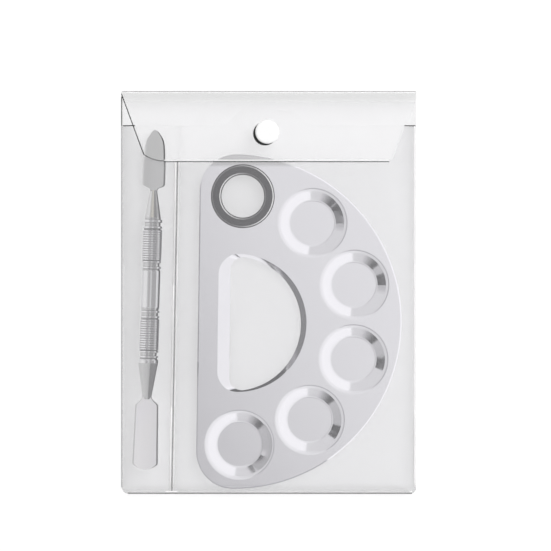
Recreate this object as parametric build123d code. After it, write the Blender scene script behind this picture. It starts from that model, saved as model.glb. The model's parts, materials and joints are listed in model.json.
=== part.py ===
from build123d import *
import os
from math import atan2, cos, degrees, radians, sin, sqrt, tan

# A pocket palette set lying on its back. X is to the right, Y runs up towards the flap's fold and Z
# points away from the table. The origin is under the middle of the pouch. Millimetres and degrees.

# Pouch film and outline
POUCH_W = 137.0
POUCH_H = 187.0
FILM = 0.3
TOP_FOLD_R = 4.75
BOTTOM_FOLD_R = 3.6
CORNER_LEFT_R = 3.0
CORNER_RIGHT_R = 2.0
SIDE_X = POUCH_W / 2
FOLD_Y = POUCH_H / 2 - TOP_FOLD_R
HEM_Y = -POUCH_H / 2 + BOTTOM_FOLD_R

# Front panel: two pockets that stand up from the side welds and from the divider weld
FRONT_TOP_Z = 2 * BOTTOM_FOLD_R
SIDE_WELD = 1.1
POCKET_RUN = 3.6
DIVIDER_TOP = (-42.5, 60.7)
DIVIDER_BOTTOM = (-45.2, -93.5)
DIVIDER_W = 2.0
MOUTH_Y = 77.7
TAB_Y = 84.5
TAB_LEFT = (-22.0, -12.0)
TAB_RIGHT = (9.5, 19.5)

# Flap: it leaves the top fold flat, then curves down towards the front panel
FLAP_EDGE_Y = 60.8
FLAP_EDGE_Z = 7.5
FLAP_FLAT_Y = 68.5
FLAP_TOP_LEFT = (-68.5, 92.35)
FLAP_TOP_RIGHT = (68.5, 89.53)
FLAP_LEFT_TURN = (-58.03, 63.97)
FLAP_ARC_END_X = -48.71
FLAP_BOTTOM_RIGHT_X = 57.78
FLAP_CORNER_R = 2.0

# Snap fastener
SNAP_XY = (-0.7, 74.45)
CAP_R = 5.5
CAP_H = 1.2
PRONG_R = 1.0
SOCKET_R = 5.2
SOCKET_CAVITY_R = 2.6
SOCKET_WEB = 0.3
STUD_FLANGE_R = 4.6
STUD_FLANGE_T = 0.5
STUD_NOSE_R = 2.0
STUD_NOSE_H = 1.35
RIVET_R = 5.2
RIVET_T = 0.7

# Palette
PALETTE_XY = (-15.9, -13.4)
PALETTE_TURN = -0.77
PLATE_T = 0.7
PLATE_Z = 4.4
PLATE_LEFT = -16.95
PLATE_ARC_R = 77.6
PLATE_CORNER_R = 17.1
RIM_RUN = 0.6
RIM_DROP = 0.5
STATION_XY = (0.32, 0.58)
STATION_R = 57.7
STATION_PITCH = 34.9
STATIONS = 6
WELL_RIM_R = 15.4
WELL_FLOOR_R = 10.6
WELL_DEPTH = 4.0
WELL_OUTER_R = 17.0
WELL_BEND_R = 1.2
WELL_RIM_BEND_R = 2.5
WINDOW_XY = (1.45, -0.6)
LIP_DEPTH = 2.2
LIP_SETBACK = 0.5

# The window's D at the lip's rim and at its foot: the arc's centre, then left side, arc and corner radius
LIP_RIM = (0.0, 0.0, -9.1, 32.0, 9.4)
LIP_FOOT = (-2.0, -0.35, -1.6, 31.4, 6.0)

# Thumb ring, a rubber grommet
RING_R = 14.8
RING_HOLE_R = 9.9
RING_GROOVE_R = 11.5
RING_BACK_R = 14.0
RING_FRONT_T = 0.9
RING_STEP_T = 0.45
RING_STEP_W = 0.45
RING_CHAMFER_W = 0.5
RING_BACK_T = 1.0

# Spatula, measured from the leaf blade's tip
SPATULA_TIP = (-52.6, 75.4)
SPATULA_TURN = -1.78
SPATULA_Z = 5.1
BLADE_T = 1.2
BLADE_LAND_T = 0.1
BLADE_BEVEL_W = 0.75
LEAF_SHOULDER = 24.7
LEAF_END = 28.3
LEAF_NOSE = [(0, 0), (2.1, -1.5), (3.75, -4.1), (4.6, -7.2), (5.05, -14.8)]
LEAF_HALF_W = 5.3
NECK_R = 1.77
CONE_TIP_R = 1.2
LEAF_CONE_R = 3.75
HANDLE_START = 40.5
HANDLE_END = 108.0
SQUARE_START = 123.6
SQUARE_NECK_R = 2.07
SQUARE_SHOULDER = (5.35, -127.7)
SQUARE_CORNER = (5.95, -154.8)
SQUARE_END_MID = (3.3, -156.8)
SPATULA_L = 157.5
TANG_R = 2.0
TANG_L = 12.0

# The handle's turned detail, as distances from the leaf blade's tip
GRIPS = [(46.3, 60.4), (87.7, 102.0)]
GRIP_R = 4.68
RIB_DEPTH = 0.45
RIB_PITCH = 1.1
WIDE_RINGS = [(42.15, 1.7), (45.1, 1.3)]
WIDE_RING_R = 4.5
WIDE_RING_WAIST_R = 3.75
THIN_RINGS = [61.1, 63.8, 84.2, 86.6, 102.7, 105.1]
THIN_RING_W = 1.1
THIN_RING_R = 4.6
THIN_RING_WAIST_R = 3.9
SMOOTH = (65.4, 82.1)
SMOOTH_R = 4.38
END_COLLAR = 106.7
END_COLLAR_R = 4.6

# Hump that the front panel makes over the spatula's handle, measured down the spatula's axis
HUMP_TOP_Z = 10.2
HUMP_BASE_Z = 5.0
HUMP_START = 13.5
HUMP_END = 137.0
HUMP_TOP_START = 18.0
HUMP_TOP_END = 111.5
HUMP_HALF_W = 5.6
HUMP_LEAN = 0.6



def turned_profile(points):
    """A solid of revolution about Z from (radius, height) points."""
    return revolve(make_face(Plane.XZ * Polyline(*points, close=True)), Axis.Z)


def d_face(left, arc_r, corner_r, inset=0.0):
    """A D-shaped face about the arc's centre: a straight left side, an arc and two round corners."""
    left = left + inset
    arc_r = arc_r - inset
    corner_r = corner_r - inset
    corner_x = left + corner_r
    corner_y = sqrt((arc_r - corner_r) ** 2 - corner_x**2)
    swing = degrees(atan2(corner_y, corner_x))
    side = Line((left, -corner_y), (left, corner_y))
    top = CenterArc((corner_x, corner_y), corner_r, swing, 180 - swing)
    bow = CenterArc((0, 0), arc_r, -swing, 2 * swing)
    bottom = CenterArc((corner_x, -corner_y), corner_r, 180, 180 - swing)
    return make_face([side, top, bow, bottom])


# ---------------------------------------------------------------- palette


def station(index):
    """The place of the thumb hole (index 0) or of a well, on their own arc."""
    angle = radians(STATION_PITCH * ((STATIONS - 1) / 2 - index))
    return Pos(*STATION_XY) * Pos(STATION_R * cos(angle), STATION_R * sin(angle))


def pressed_well():
    """One dished well with its shoulder, pressed down from the plate."""
    top_z = PLATE_Z + PLATE_T
    floor_z = top_z - WELL_DEPTH
    lean = atan2(WELL_DEPTH, WELL_RIM_R - WELL_FLOOR_R)
    mitre = PLATE_T * tan(lean / 2)
    section = make_face(
        Plane.XZ
        * Polyline(
            (0, floor_z),
            (WELL_FLOOR_R, floor_z),
            (WELL_RIM_R, top_z),
            (WELL_OUTER_R, top_z),
            (WELL_OUTER_R, PLATE_Z),
            (WELL_RIM_R + mitre, PLATE_Z),
            (WELL_FLOOR_R + mitre, floor_z - PLATE_T),
            (0, floor_z - PLATE_T),
            close=True,
        )
    )
    bends = {
        (WELL_FLOOR_R, floor_z): WELL_BEND_R,
        (WELL_FLOOR_R + mitre, floor_z - PLATE_T): WELL_BEND_R + PLATE_T,
        (WELL_RIM_R, top_z): WELL_RIM_BEND_R,
        (WELL_RIM_R + mitre, PLATE_Z): WELL_RIM_BEND_R - PLATE_T,
    }
    for (x, z), radius in bends.items():
        corner = section.vertices().sort_by_distance((x, 0, z))[0]
        section = fillet(corner, radius)
    return revolve(section, Axis.Z)


def window_face(depth, outset):
    """The window's D at a depth below the plate's top, outset sideways."""
    share = depth / LIP_DEPTH
    x, y, *shape = [rim + share * (foot - rim) for rim, foot in zip(LIP_RIM, LIP_FOOT)]
    return Pos(x, y) * d_face(*shape, -outset)


def window_prism(start, end, outset=0.0, drop=0.0):
    """The window's tapering prism between two depths of its lip, outset and dropped for the outer side."""
    top_z = PLATE_Z + PLATE_T - drop
    faces = [Pos(0, 0, top_z - depth) * window_face(depth, outset) for depth in (start, end)]
    return Pos(*WINDOW_XY) * loft(faces, ruled=True)


def palette_plate():
    """The pressed steel plate with its bevelled rim, wells, thumb hole and lipped finger window."""
    top_z = PLATE_Z + PLATE_T
    shape = (PLATE_LEFT, PLATE_ARC_R, PLATE_CORNER_R)
    foot = d_face(*shape)
    bevel = [Pos(0, 0, top_z - RIM_DROP) * foot, Pos(0, 0, top_z) * d_face(*shape, RIM_RUN)]
    plate = Pos(0, 0, PLATE_Z) * extrude(foot, PLATE_T - RIM_DROP) + loft(bevel, ruled=True)
    plate -= station(0) * Pos(0, 0, PLATE_Z) * Cylinder(RING_GROOVE_R, 4 * PLATE_T)
    for index in range(1, STATIONS):
        plate -= station(index) * Pos(0, 0, PLATE_Z) * Cylinder(WELL_OUTER_R, 4 * PLATE_T)
        plate += station(index) * pressed_well()
    plate += window_prism(PLATE_T - LIP_SETBACK, LIP_DEPTH - LIP_SETBACK, LIP_SETBACK, LIP_SETBACK)
    plate -= window_prism(0, LIP_DEPTH + PLATE_T)
    return plate


def thumb_ring():
    """The grommet, gripping the plate's edge in its groove, with a raised chamfered band on the front."""
    top_z = PLATE_Z + PLATE_T
    step_z = top_z + RING_STEP_T
    front_z = top_z + RING_FRONT_T
    band_w = RING_STEP_W + RING_CHAMFER_W
    ring = turned_profile(
        [
            (RING_HOLE_R, PLATE_Z - RING_BACK_T),
            (RING_BACK_R, PLATE_Z - RING_BACK_T),
            (RING_BACK_R, PLATE_Z),
            (RING_GROOVE_R, PLATE_Z),
            (RING_GROOVE_R, top_z),
            (RING_R, top_z),
            (RING_R, step_z),
            (RING_R - RING_STEP_W, step_z),
            (RING_R - band_w, front_z),
            (RING_HOLE_R + band_w, front_z),
            (RING_HOLE_R + RING_STEP_W, step_z),
            (RING_HOLE_R, step_z),
        ]
    )
    return station(0) * ring


# ---------------------------------------------------------------- spatula


def on_spatula(shape):
    """Move a shape from the spatula's own frame (tip at the origin, length along -Y) into place."""
    return Pos(*SPATULA_TIP, SPATULA_Z) * Rot(0, 0, SPATULA_TURN) * shape


def spun(stations):
    """A solid turned about the spatula's axis from (distance from the tip, radius) pairs."""
    points = [(0, -stations[0][0])]
    points += [(radius, -distance) for distance, radius in stations]
    points += [(0, -stations[-1][0])]
    return revolve(make_face(Polyline(*points, close=True)), Axis.Y)


def ribs(start, end):
    """Stations of a ribbed grip: shallow rounded rings with narrow grooves between them."""
    count = round((end - start) / RIB_PITCH)
    pitch = (end - start) / count
    stations = []
    for index in range(count):
        rib = start + index * pitch
        stations.append((rib, GRIP_R - RIB_DEPTH))
        stations.append((rib + 0.3 * pitch, GRIP_R))
        stations.append((rib + 0.7 * pitch, GRIP_R))
    stations.append((end, GRIP_R - RIB_DEPTH))
    return stations


def ring(middle, width, radius, waist):
    """Stations of one raised ring on a thinner waist."""
    half = width / 2
    return [
        (middle - half, waist),
        (middle - 0.6 * half, radius),
        (middle + 0.6 * half, radius),
        (middle + half, waist),
    ]


def spatula_handle():
    """The turned handle: two ribbed grips, a smooth middle, raised rings and a bore at each end."""
    stations = [(HANDLE_START, LEAF_CONE_R)]
    for middle, width in WIDE_RINGS:
        stations += ring(middle, width, WIDE_RING_R, WIDE_RING_WAIST_R)
    for middle in THIN_RINGS:
        stations += ring(middle, THIN_RING_W, THIN_RING_R, THIN_RING_WAIST_R)
    for start, end in GRIPS:
        stations += ribs(start, end)
    stations += [(distance, SMOOTH_R) for distance in SMOOTH]
    stations += [(END_COLLAR, END_COLLAR_R), (HANDLE_END, END_COLLAR_R)]
    handle = spun(sorted(stations))
    handle -= spun([(HANDLE_START, TANG_R), (HANDLE_START + TANG_L, TANG_R)])
    handle -= spun([(HANDLE_END - TANG_L, TANG_R), (HANDLE_END, TANG_R)])
    return on_spatula(handle)


def half_blade(outline, half_w):
    """Half of a flat blade from its plan outline, with its side ground to a bevel towards the top."""
    plan = make_face(outline)
    narrow = 1 - BLADE_BEVEL_W / half_w
    top = scale(plan, by=(narrow, 1, 1))
    low_z = -BLADE_T / 2
    sections = [Pos(0, 0, low_z) * plan, Pos(0, 0, low_z + BLADE_LAND_T) * plan, Pos(0, 0, -low_z) * top]
    return Part(loft(sections, ruled=True).wrapped)


def leaf_blade():
    """The pointed blade with its cone and the tang that is pressed into the handle."""
    side = Spline(*LEAF_NOSE, (LEAF_HALF_W, -LEAF_SHOULDER), tangents=[(1, 0), (0, -1)])
    shoulder = Spline(side @ 1, (NECK_R, -LEAF_END), tangents=[(0, -1), (0, -1)])
    foot = Line(shoulder @ 1, (0, -LEAF_END))
    spine = Line((0, -LEAF_END), (0, 0))
    half = half_blade([side, shoulder, foot, spine], LEAF_HALF_W)
    blade = half + mirror(half, Plane.YZ)
    blade += spun([(LEAF_END - BLADE_T / 2, CONE_TIP_R), (LEAF_END, NECK_R), (HANDLE_START, LEAF_CONE_R)])
    blade += spun([(HANDLE_START, TANG_R), (HANDLE_START + TANG_L, TANG_R)])
    return on_spatula(blade)


def square_blade():
    """The square-ended blade with its cone and tang."""
    start_y = -SQUARE_START
    neck = (SQUARE_NECK_R, start_y)
    shoulder = Spline(neck, SQUARE_SHOULDER, tangents=[(0.2, -1), (0.6, -1)])
    side = Line(SQUARE_SHOULDER, SQUARE_CORNER)
    end = ThreePointArc(SQUARE_CORNER, SQUARE_END_MID, (0, -SPATULA_L))
    spine = Line((0, -SPATULA_L), (0, start_y))
    top = Line((0, start_y), neck)
    half = half_blade([shoulder, side, end, spine, top], SQUARE_CORNER[0])
    blade = half + mirror(half, Plane.YZ)
    blade += spun(
        [(HANDLE_END, END_COLLAR_R), (SQUARE_START, SQUARE_NECK_R), (SQUARE_START + BLADE_T, CONE_TIP_R)]
    )
    blade += spun([(HANDLE_END - TANG_L, TANG_R), (HANDLE_END, TANG_R)])
    return on_spatula(blade)


# ---------------------------------------------------------------- pouch


def divider_x(y):
    """Where the divider weld's centre line lies at a height y."""
    slope = (DIVIDER_TOP[0] - DIVIDER_BOTTOM[0]) / (DIVIDER_TOP[1] - DIVIDER_BOTTOM[1])
    return DIVIDER_TOP[0] + slope * (y - DIVIDER_TOP[1])


def pocket_section(low_x, high_x, inset):
    """A pocket's XZ section points: a trapezium standing on the back panel's film."""
    slope = POCKET_RUN / (FRONT_TOP_Z - FILM)
    side = inset * sqrt(1 + slope**2)
    base_z = FILM
    top_z = FRONT_TOP_Z - inset
    rise = (top_z - base_z) * slope
    return [
        (low_x + side, base_z),
        (high_x - side, base_z),
        (high_x - side - rise, top_z),
        (low_x + side + rise, top_z),
    ]


def pocket(left_at, right_at, inset):
    """A pocket's solid: its section carried from below the hem to above the mouth."""
    sections = []
    for y in (-SIDE_X * 2, SIDE_X * 2):
        points = [(x, y, z) for x, z in pocket_section(left_at(y), right_at(y), inset)]
        sections.append(make_face(Polyline(*points, close=True)))
    return loft(sections, ruled=True)


def hump(inset):
    """The swelling over the spatula's handle, lofted in the spatula's own frame."""
    base_z = HUMP_BASE_Z - SPATULA_Z
    top_z = HUMP_TOP_Z - SPATULA_Z - inset
    base = Pos(0, -(HUMP_START + HUMP_END) / 2, base_z) * Rectangle(
        2 * (HUMP_HALF_W - inset), HUMP_END - HUMP_START - 2 * inset
    )
    crown = Pos(0, -(HUMP_TOP_START + HUMP_TOP_END) / 2, top_z) * Rectangle(
        2 * (HUMP_HALF_W - HUMP_LEAN - inset), HUMP_TOP_END - HUMP_TOP_START - 2 * inset
    )
    return on_spatula(loft([base, crown], ruled=True))


def pockets(inset):
    """Both pockets and the handle's hump, kept clear of the rounded bottom fold."""
    inner_right = SIDE_X - SIDE_WELD
    half_weld = DIVIDER_W / 2
    wide = pocket(lambda y: divider_x(y) + half_weld, lambda y: inner_right, inset)
    narrow = pocket(lambda y: -inner_right, lambda y: divider_x(y) - half_weld, inset)
    return (wide + narrow + hump(inset)) & bottom_profile(inset)


def bottom_profile(inset):
    """A prism along X that is round at the hem and open upwards and towards the flap."""
    radius = BOTTOM_FOLD_R - inset
    high_y = POUCH_H
    high_z = 2 * HUMP_TOP_Z
    section = make_face(
        [
            Polyline((0, HEM_Y, inset), (0, high_y, inset), (0, high_y, high_z), (0, HEM_Y, high_z)),
            Line((0, HEM_Y, high_z), (0, HEM_Y, 2 * BOTTOM_FOLD_R - inset)),
            ThreePointArc(
                (0, HEM_Y, 2 * BOTTOM_FOLD_R - inset),
                (0, HEM_Y - radius, BOTTOM_FOLD_R),
                (0, HEM_Y, inset),
            ),
        ]
    )
    return extrude(section, POUCH_W, dir=(1, 0, 0), both=True)


def panel_outline():
    """The front panel's plan: round bottom corners, and a tab in the mouth edge for the stud."""
    half_h = POUCH_H / 2
    left, tab_low = TAB_LEFT
    tab_high, right = TAB_RIGHT
    rise = Spline((left, MOUTH_Y), (tab_low, TAB_Y), tangents=[(1, 0), (1, 0)])
    fall = Spline((tab_high, TAB_Y), (right, MOUTH_Y), tangents=[(1, 0), (1, 0)])
    outline = make_face(
        [
            Line((-SIDE_X, MOUTH_Y), (left, MOUTH_Y)),
            rise,
            Line((tab_low, TAB_Y), (tab_high, TAB_Y)),
            fall,
            Polyline((right, MOUTH_Y), (SIDE_X, MOUTH_Y), (SIDE_X, -half_h), (-SIDE_X, -half_h)),
            Line((-SIDE_X, -half_h), (-SIDE_X, MOUTH_Y)),
        ]
    )
    lower = outline.vertices().sort_by(Axis.Y)[:2].sort_by(Axis.X)
    outline = fillet(lower[0], CORNER_LEFT_R)
    right_corner = outline.vertices().sort_by_distance((SIDE_X, -half_h, 0))[0]
    return fillet(right_corner, CORNER_RIGHT_R)


def front_panel():
    """The front film: welded flat at the sides and divider, raised over both pockets, folded at the hem."""
    weld = Pos(0, 0, 1.5 * FILM) * Box(POUCH_W, POUCH_H, FILM)
    hem = Pos(0, HEM_Y - BOTTOM_FOLD_R, FILM) * Box(POUCH_W, 2 * BOTTOM_FOLD_R, 2 * FILM)
    outer = (weld + hem) & bottom_profile(0)
    outer += pockets(0)
    panel = outer - pockets(FILM)
    panel = panel & extrude(panel_outline(), 2 * HUMP_TOP_Z)
    return panel - Pos(*SNAP_XY, FRONT_TOP_Z) * Cylinder(PRONG_R, 4 * FILM)


def back_panel():
    """The flat back film, from the hem to the top fold."""
    length = FOLD_Y - HEM_Y
    return Pos(0, (FOLD_Y + HEM_Y) / 2, FILM / 2) * Box(POUCH_W, length, FILM)


def flap_outline():
    """The flap's plan: slanted sides, a long round lower left corner and a tight lower right one."""
    slant = ThreePointArc(
        FLAP_LEFT_TURN,
        arc_middle(FLAP_LEFT_TURN, (FLAP_ARC_END_X, FLAP_EDGE_Y)),
        (FLAP_ARC_END_X, FLAP_EDGE_Y),
    )
    top_y = POUCH_H / 2 + 1
    outline = make_face(
        [
            Polyline((-SIDE_X, top_y), FLAP_TOP_LEFT, FLAP_LEFT_TURN),
            slant,
            Polyline(
                (FLAP_ARC_END_X, FLAP_EDGE_Y),
                (FLAP_BOTTOM_RIGHT_X, FLAP_EDGE_Y),
                FLAP_TOP_RIGHT,
                (SIDE_X, top_y),
                (-SIDE_X, top_y),
            ),
        ]
    )
    corner = outline.vertices().sort_by_distance((FLAP_BOTTOM_RIGHT_X, FLAP_EDGE_Y, 0))[0]
    return fillet(corner, FLAP_CORNER_R)


def arc_middle(start, end):
    """The middle of the arc from start to end that arrives level at its end."""
    dx = end[0] - start[0]
    dy = start[1] - end[1]
    radius = (dx**2 + dy**2) / (2 * dy)
    half = atan2(dx, radius - dy) / 2
    return (end[0] - radius * sin(half), end[1] + radius * (1 - cos(half)))


def flap_section():
    """The flap's YZ section: flat from the fold, then curving down to the free edge."""
    under_z = 2 * TOP_FOLD_R - FILM
    run = FLAP_FLAT_Y - FLAP_EDGE_Y
    drop = under_z - FLAP_EDGE_Z
    radius = (run**2 + drop**2) / (2 * drop)
    centre_z = under_z - radius
    swing = degrees(atan2(run, radius - drop))
    flat = Polyline(
        (0, FLAP_FLAT_Y, under_z),
        (0, FOLD_Y, under_z),
        (0, FOLD_Y, under_z + FILM),
        (0, FLAP_FLAT_Y, under_z + FILM),
    )

    def point(r, angle):
        return (0, FLAP_FLAT_Y - r * sin(radians(angle)), centre_z + r * cos(radians(angle)))

    upper = ThreePointArc(*[point(radius + FILM, swing * step / 2) for step in range(3)])
    tip = Line(point(radius + FILM, swing), point(radius, swing))
    lower = ThreePointArc(*[point(radius, swing * step / 2) for step in (2, 1, 0)])
    return make_face([flat, upper, tip, lower])


def flap():
    """The flap beyond the fold, with the hole for the snap cap's prong."""
    sheet = extrude(flap_section(), SIDE_X, dir=(1, 0, 0), both=True)
    sheet = sheet & extrude(flap_outline(), 2 * HUMP_TOP_Z)
    return sheet - Pos(*SNAP_XY, 2 * TOP_FOLD_R) * Cylinder(PRONG_R, 4 * FILM)


def top_fold():
    """The bend that joins the back panel to the flap. Its upper half follows the flap's slanted ends."""
    centre = (0, FOLD_Y, TOP_FOLD_R)
    tube = Pos(*centre) * Rot(0, 90, 0) * Cylinder(TOP_FOLD_R, POUCH_W)
    tube -= Pos(*centre) * Rot(0, 90, 0) * Cylinder(TOP_FOLD_R - FILM, 2 * POUCH_W)
    beyond = Pos(0, FOLD_Y + TOP_FOLD_R, 0) * Box(2 * POUCH_W, 2 * TOP_FOLD_R, 2 * TOP_FOLD_R)
    lower = tube & beyond
    upper = tube & (Pos(0, 0, 2 * TOP_FOLD_R) * beyond) & extrude(flap_outline(), 2 * HUMP_TOP_Z)
    return lower + upper


# ---------------------------------------------------------------- snap fastener


def snap_cap():
    """The domed cap on the flap, with the prong that holds the socket."""
    base_z = 2 * TOP_FOLD_R
    disc = Pos(0, 0, base_z + CAP_H / 2) * Cylinder(CAP_R, CAP_H)
    disc = fillet(disc.faces().sort_by(Axis.Z)[-1].edges(), 0.75 * CAP_H)
    prong_l = FILM + SOCKET_WEB
    prong = Pos(0, 0, base_z - prong_l / 2) * Cylinder(PRONG_R, prong_l)
    return Pos(*SNAP_XY) * (disc + prong)


def snap_socket():
    """The socket under the flap: an open cup that the stud's nose clicks into."""
    top_z = 2 * TOP_FOLD_R - FILM
    base_z = FRONT_TOP_Z + STUD_FLANGE_T + 0.1
    cup = turned_profile(
        [
            (PRONG_R, top_z),
            (SOCKET_R, top_z),
            (SOCKET_R, top_z - STUD_FLANGE_T),
            (SOCKET_CAVITY_R + 1.0, base_z),
            (SOCKET_CAVITY_R, base_z),
            (SOCKET_CAVITY_R, top_z - SOCKET_WEB),
            (PRONG_R, top_z - SOCKET_WEB),
        ]
    )
    return Pos(*SNAP_XY) * cup


def snap_stud():
    """The stud on the front panel: a flange and a round-topped nose, bored for the rivet's prong."""
    base_z = FRONT_TOP_Z
    flange = Pos(0, 0, base_z + STUD_FLANGE_T / 2) * Cylinder(STUD_FLANGE_R, STUD_FLANGE_T)
    nose = Pos(0, 0, base_z + STUD_NOSE_H / 2) * Cylinder(STUD_NOSE_R, STUD_NOSE_H)
    nose = fillet(nose.faces().sort_by(Axis.Z)[-1].edges(), 0.4)
    bore_l = STUD_NOSE_H - FILM
    bore = Pos(0, 0, base_z + bore_l / 2) * Cylinder(PRONG_R, bore_l)
    return Pos(*SNAP_XY) * (flange + nose - bore)


def stud_rivet():
    """The rivet inside the pouch whose prong passes through the front panel into the stud."""
    top_z = FRONT_TOP_Z - FILM
    head = Pos(0, 0, top_z - RIVET_T / 2) * Cylinder(RIVET_R, RIVET_T)
    prong_l = STUD_NOSE_H
    prong = Pos(0, 0, top_z + prong_l / 2) * Cylinder(PRONG_R, prong_l)
    return Pos(*SNAP_XY) * (head + prong)


# ---------------------------------------------------------------- assembly

palette_place = Pos(*PALETTE_XY) * Rot(0, 0, PALETTE_TURN)

parts = {
    "back_panel": back_panel(),
    "front_panel": front_panel(),
    "top_fold": top_fold(),
    "flap": flap(),
    "snap_cap": snap_cap(),
    "snap_socket": snap_socket(),
    "snap_stud": snap_stud(),
    "stud_rivet": stud_rivet(),
    "palette_plate": palette_place * palette_plate(),
    "thumb_ring": palette_place * thumb_ring(),
    "spatula_handle": spatula_handle(),
    "leaf_blade": leaf_blade(),
    "square_blade": square_blade(),
}

os.makedirs("parts", exist_ok=True)
for name, shape in parts.items():
    export_step(shape, f"parts/{name}.step")
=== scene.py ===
import json
import math

import bpy
import numpy as np
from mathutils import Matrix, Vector
from mathutils.bvhtree import BVHTree


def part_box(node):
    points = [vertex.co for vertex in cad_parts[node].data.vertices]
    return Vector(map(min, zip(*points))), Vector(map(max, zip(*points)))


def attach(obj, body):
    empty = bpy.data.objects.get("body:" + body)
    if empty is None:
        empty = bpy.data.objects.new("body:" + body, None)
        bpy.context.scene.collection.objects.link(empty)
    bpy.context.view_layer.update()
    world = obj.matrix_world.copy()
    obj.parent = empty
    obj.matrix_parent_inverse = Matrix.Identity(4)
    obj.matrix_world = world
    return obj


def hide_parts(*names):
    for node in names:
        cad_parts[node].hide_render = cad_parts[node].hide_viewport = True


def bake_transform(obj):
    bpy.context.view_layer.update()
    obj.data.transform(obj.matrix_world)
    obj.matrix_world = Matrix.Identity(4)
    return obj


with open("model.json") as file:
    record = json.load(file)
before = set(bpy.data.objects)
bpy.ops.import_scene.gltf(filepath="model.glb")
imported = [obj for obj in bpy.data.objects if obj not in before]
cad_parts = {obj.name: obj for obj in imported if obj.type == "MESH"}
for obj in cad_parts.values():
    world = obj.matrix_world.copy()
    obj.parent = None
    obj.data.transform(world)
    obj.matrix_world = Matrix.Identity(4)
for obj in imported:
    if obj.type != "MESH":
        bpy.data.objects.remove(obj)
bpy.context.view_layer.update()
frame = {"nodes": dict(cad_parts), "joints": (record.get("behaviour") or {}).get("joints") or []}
nodes = frame["nodes"]

# Sizes below are millimetres. Blender gets metres.
MM = 0.001


def corners(node):
    """A CAD node's lowest and highest corners in millimetres."""
    low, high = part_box(node)
    return np.array(low) / MM, np.array(high) / MM


back_low, back_high = corners("back_panel")
front_low, front_high = corners("front_panel")
flap_low = corners("flap")[0]
fold_high = corners("top_fold")[1]
cap_low, cap_high = corners("snap_cap")

# Pouch film
FILM = back_high[2]
SIDE_X = back_high[0]
HEM_Y = back_low[1]
BOTTOM_Y = front_low[1]
FOLD_Y = back_high[1]
FOLD_R = fold_high[2] / 2
SIDE_WELD = 1.1
CORNER_LEFT_R = 3.0
CORNER_RIGHT_R = 2.0
TAB_Y = front_high[1]
MOUTH_Y = TAB_Y - 6.8
TAB_LEFT = (-22.0, -12.0)
TAB_RIGHT = (9.5, 19.5)
DIVIDER_TOP = (-42.5, 60.7)
DIVIDER_BOTTOM = (-45.2, BOTTOM_Y)
DIVIDER_HALF_W = 1.0
HEM_RISE = 2.4

# Flap
EDGE_Y = flap_low[1]
EDGE_Z = flap_low[2]
FLAT_Y = 68.5
TURN = (-58.03, 63.97)
ARC_END_X = -48.71
LEFT_TOP_Y = 92.35
RIGHT_TOP_Y = 89.53
RIGHT_X = 57.78
RIGHT_R = 2.0


# ---------------------------------------------------------------- node helpers


def add_node(tree, kind, inputs=None, **settings):
    """One shader node with its settings and its inputs, each a value or a socket to link."""
    made = tree.nodes.new(kind)
    for name, value in settings.items():
        setattr(made, name, value)
    for name, value in (inputs or {}).items():
        if isinstance(value, bpy.types.NodeSocket):
            tree.links.new(value, made.inputs[name])
        else:
            made.inputs[name].default_value = value
    return made


def math_node(tree, operation, first, second=0.0, third=0.0, clamp=False):
    """A Math node's result."""
    made = add_node(tree, "ShaderNodeMath", {0: first, 1: second, 2: third}, operation=operation)
    made.use_clamp = clamp
    return made.outputs[0]


def ranged(tree, value, source, target, kind="LINEAR"):
    """A value that goes over the target range as value goes over the source range."""
    limits = dict(zip(("From Min", "From Max", "To Min", "To Max"), (*source, *target)))
    made = add_node(tree, "ShaderNodeMapRange", {"Value": value, **limits}, interpolation_type=kind)
    return made.outputs["Result"]


def smooth_step(tree, value, low, high):
    """0 below low, 1 above high, smooth between them."""
    return ranged(tree, value, (low, high), (0.0, 1.0), "SMOOTHSTEP")


def grey(value, cool=0.0):
    """A grey colour, turned a little towards violet by the share cool."""
    return (value, value * (1 - cool / 3), value * (1 + cool), 1)


def mix_colour(tree, share, first, second):
    """A colour that turns from the first to the second as share goes from 0 to 1."""
    made = add_node(tree, "ShaderNodeMix", {"Factor": share, 6: first, 7: second}, data_type="RGBA")
    return made.outputs[2]


def object_place(tree):
    """The place on the object, in its own coordinates."""
    return add_node(tree, "ShaderNodeTexCoord").outputs["Object"]


def split(tree, vector):
    """The three numbers of a vector."""
    return add_node(tree, "ShaderNodeSeparateXYZ", {0: vector}).outputs


def facing(tree):
    """The three numbers of the surface's direction, without smoothing."""
    return split(tree, add_node(tree, "ShaderNodeNewGeometry").outputs["True Normal"])


def noise(tree, place, scale, detail=2.0):
    """A noise value by place."""
    inputs = {"Vector": place, "Scale": scale, "Detail": detail}
    return add_node(tree, "ShaderNodeTexNoise", inputs).outputs["Fac"]


def add_bump(tree, shader, height, strength, distance):
    """Bump on a Principled shader, its distance in millimetres."""
    inputs = {"Strength": strength, "Distance": distance * MM, "Height": height}
    tree.links.new(add_node(tree, "ShaderNodeBump", inputs).outputs[0], shader["Normal"])


def emission(tree, strength):
    """White light."""
    return add_node(tree, "ShaderNodeEmission", {"Color": grey(1), "Strength": strength}).outputs[0]


def empty_material(name):
    """A node material with no nodes yet, and its tree."""
    material = bpy.data.materials.new(name)
    material.use_nodes = True
    tree = material.node_tree
    tree.nodes.clear()
    return material, tree


def reopen(material):
    """A made material's tree, its Principled shader's inputs and the socket that colours it."""
    tree = material.node_tree
    shader = next(n for n in tree.nodes if n.type == "BSDF_PRINCIPLED").inputs
    return tree, shader, shader["Base Color"].links[0].from_socket


def new_material(name):
    """A node material, its tree and the inputs of the Principled shader in it."""
    material, tree = empty_material(name)
    shader = add_node(tree, "ShaderNodeBsdfPrincipled")
    add_node(tree, "ShaderNodeOutputMaterial", {"Surface": shader.outputs[0]})
    return material, tree, shader.inputs


# ---------------------------------------------------------------- camera, stage and light

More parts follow.
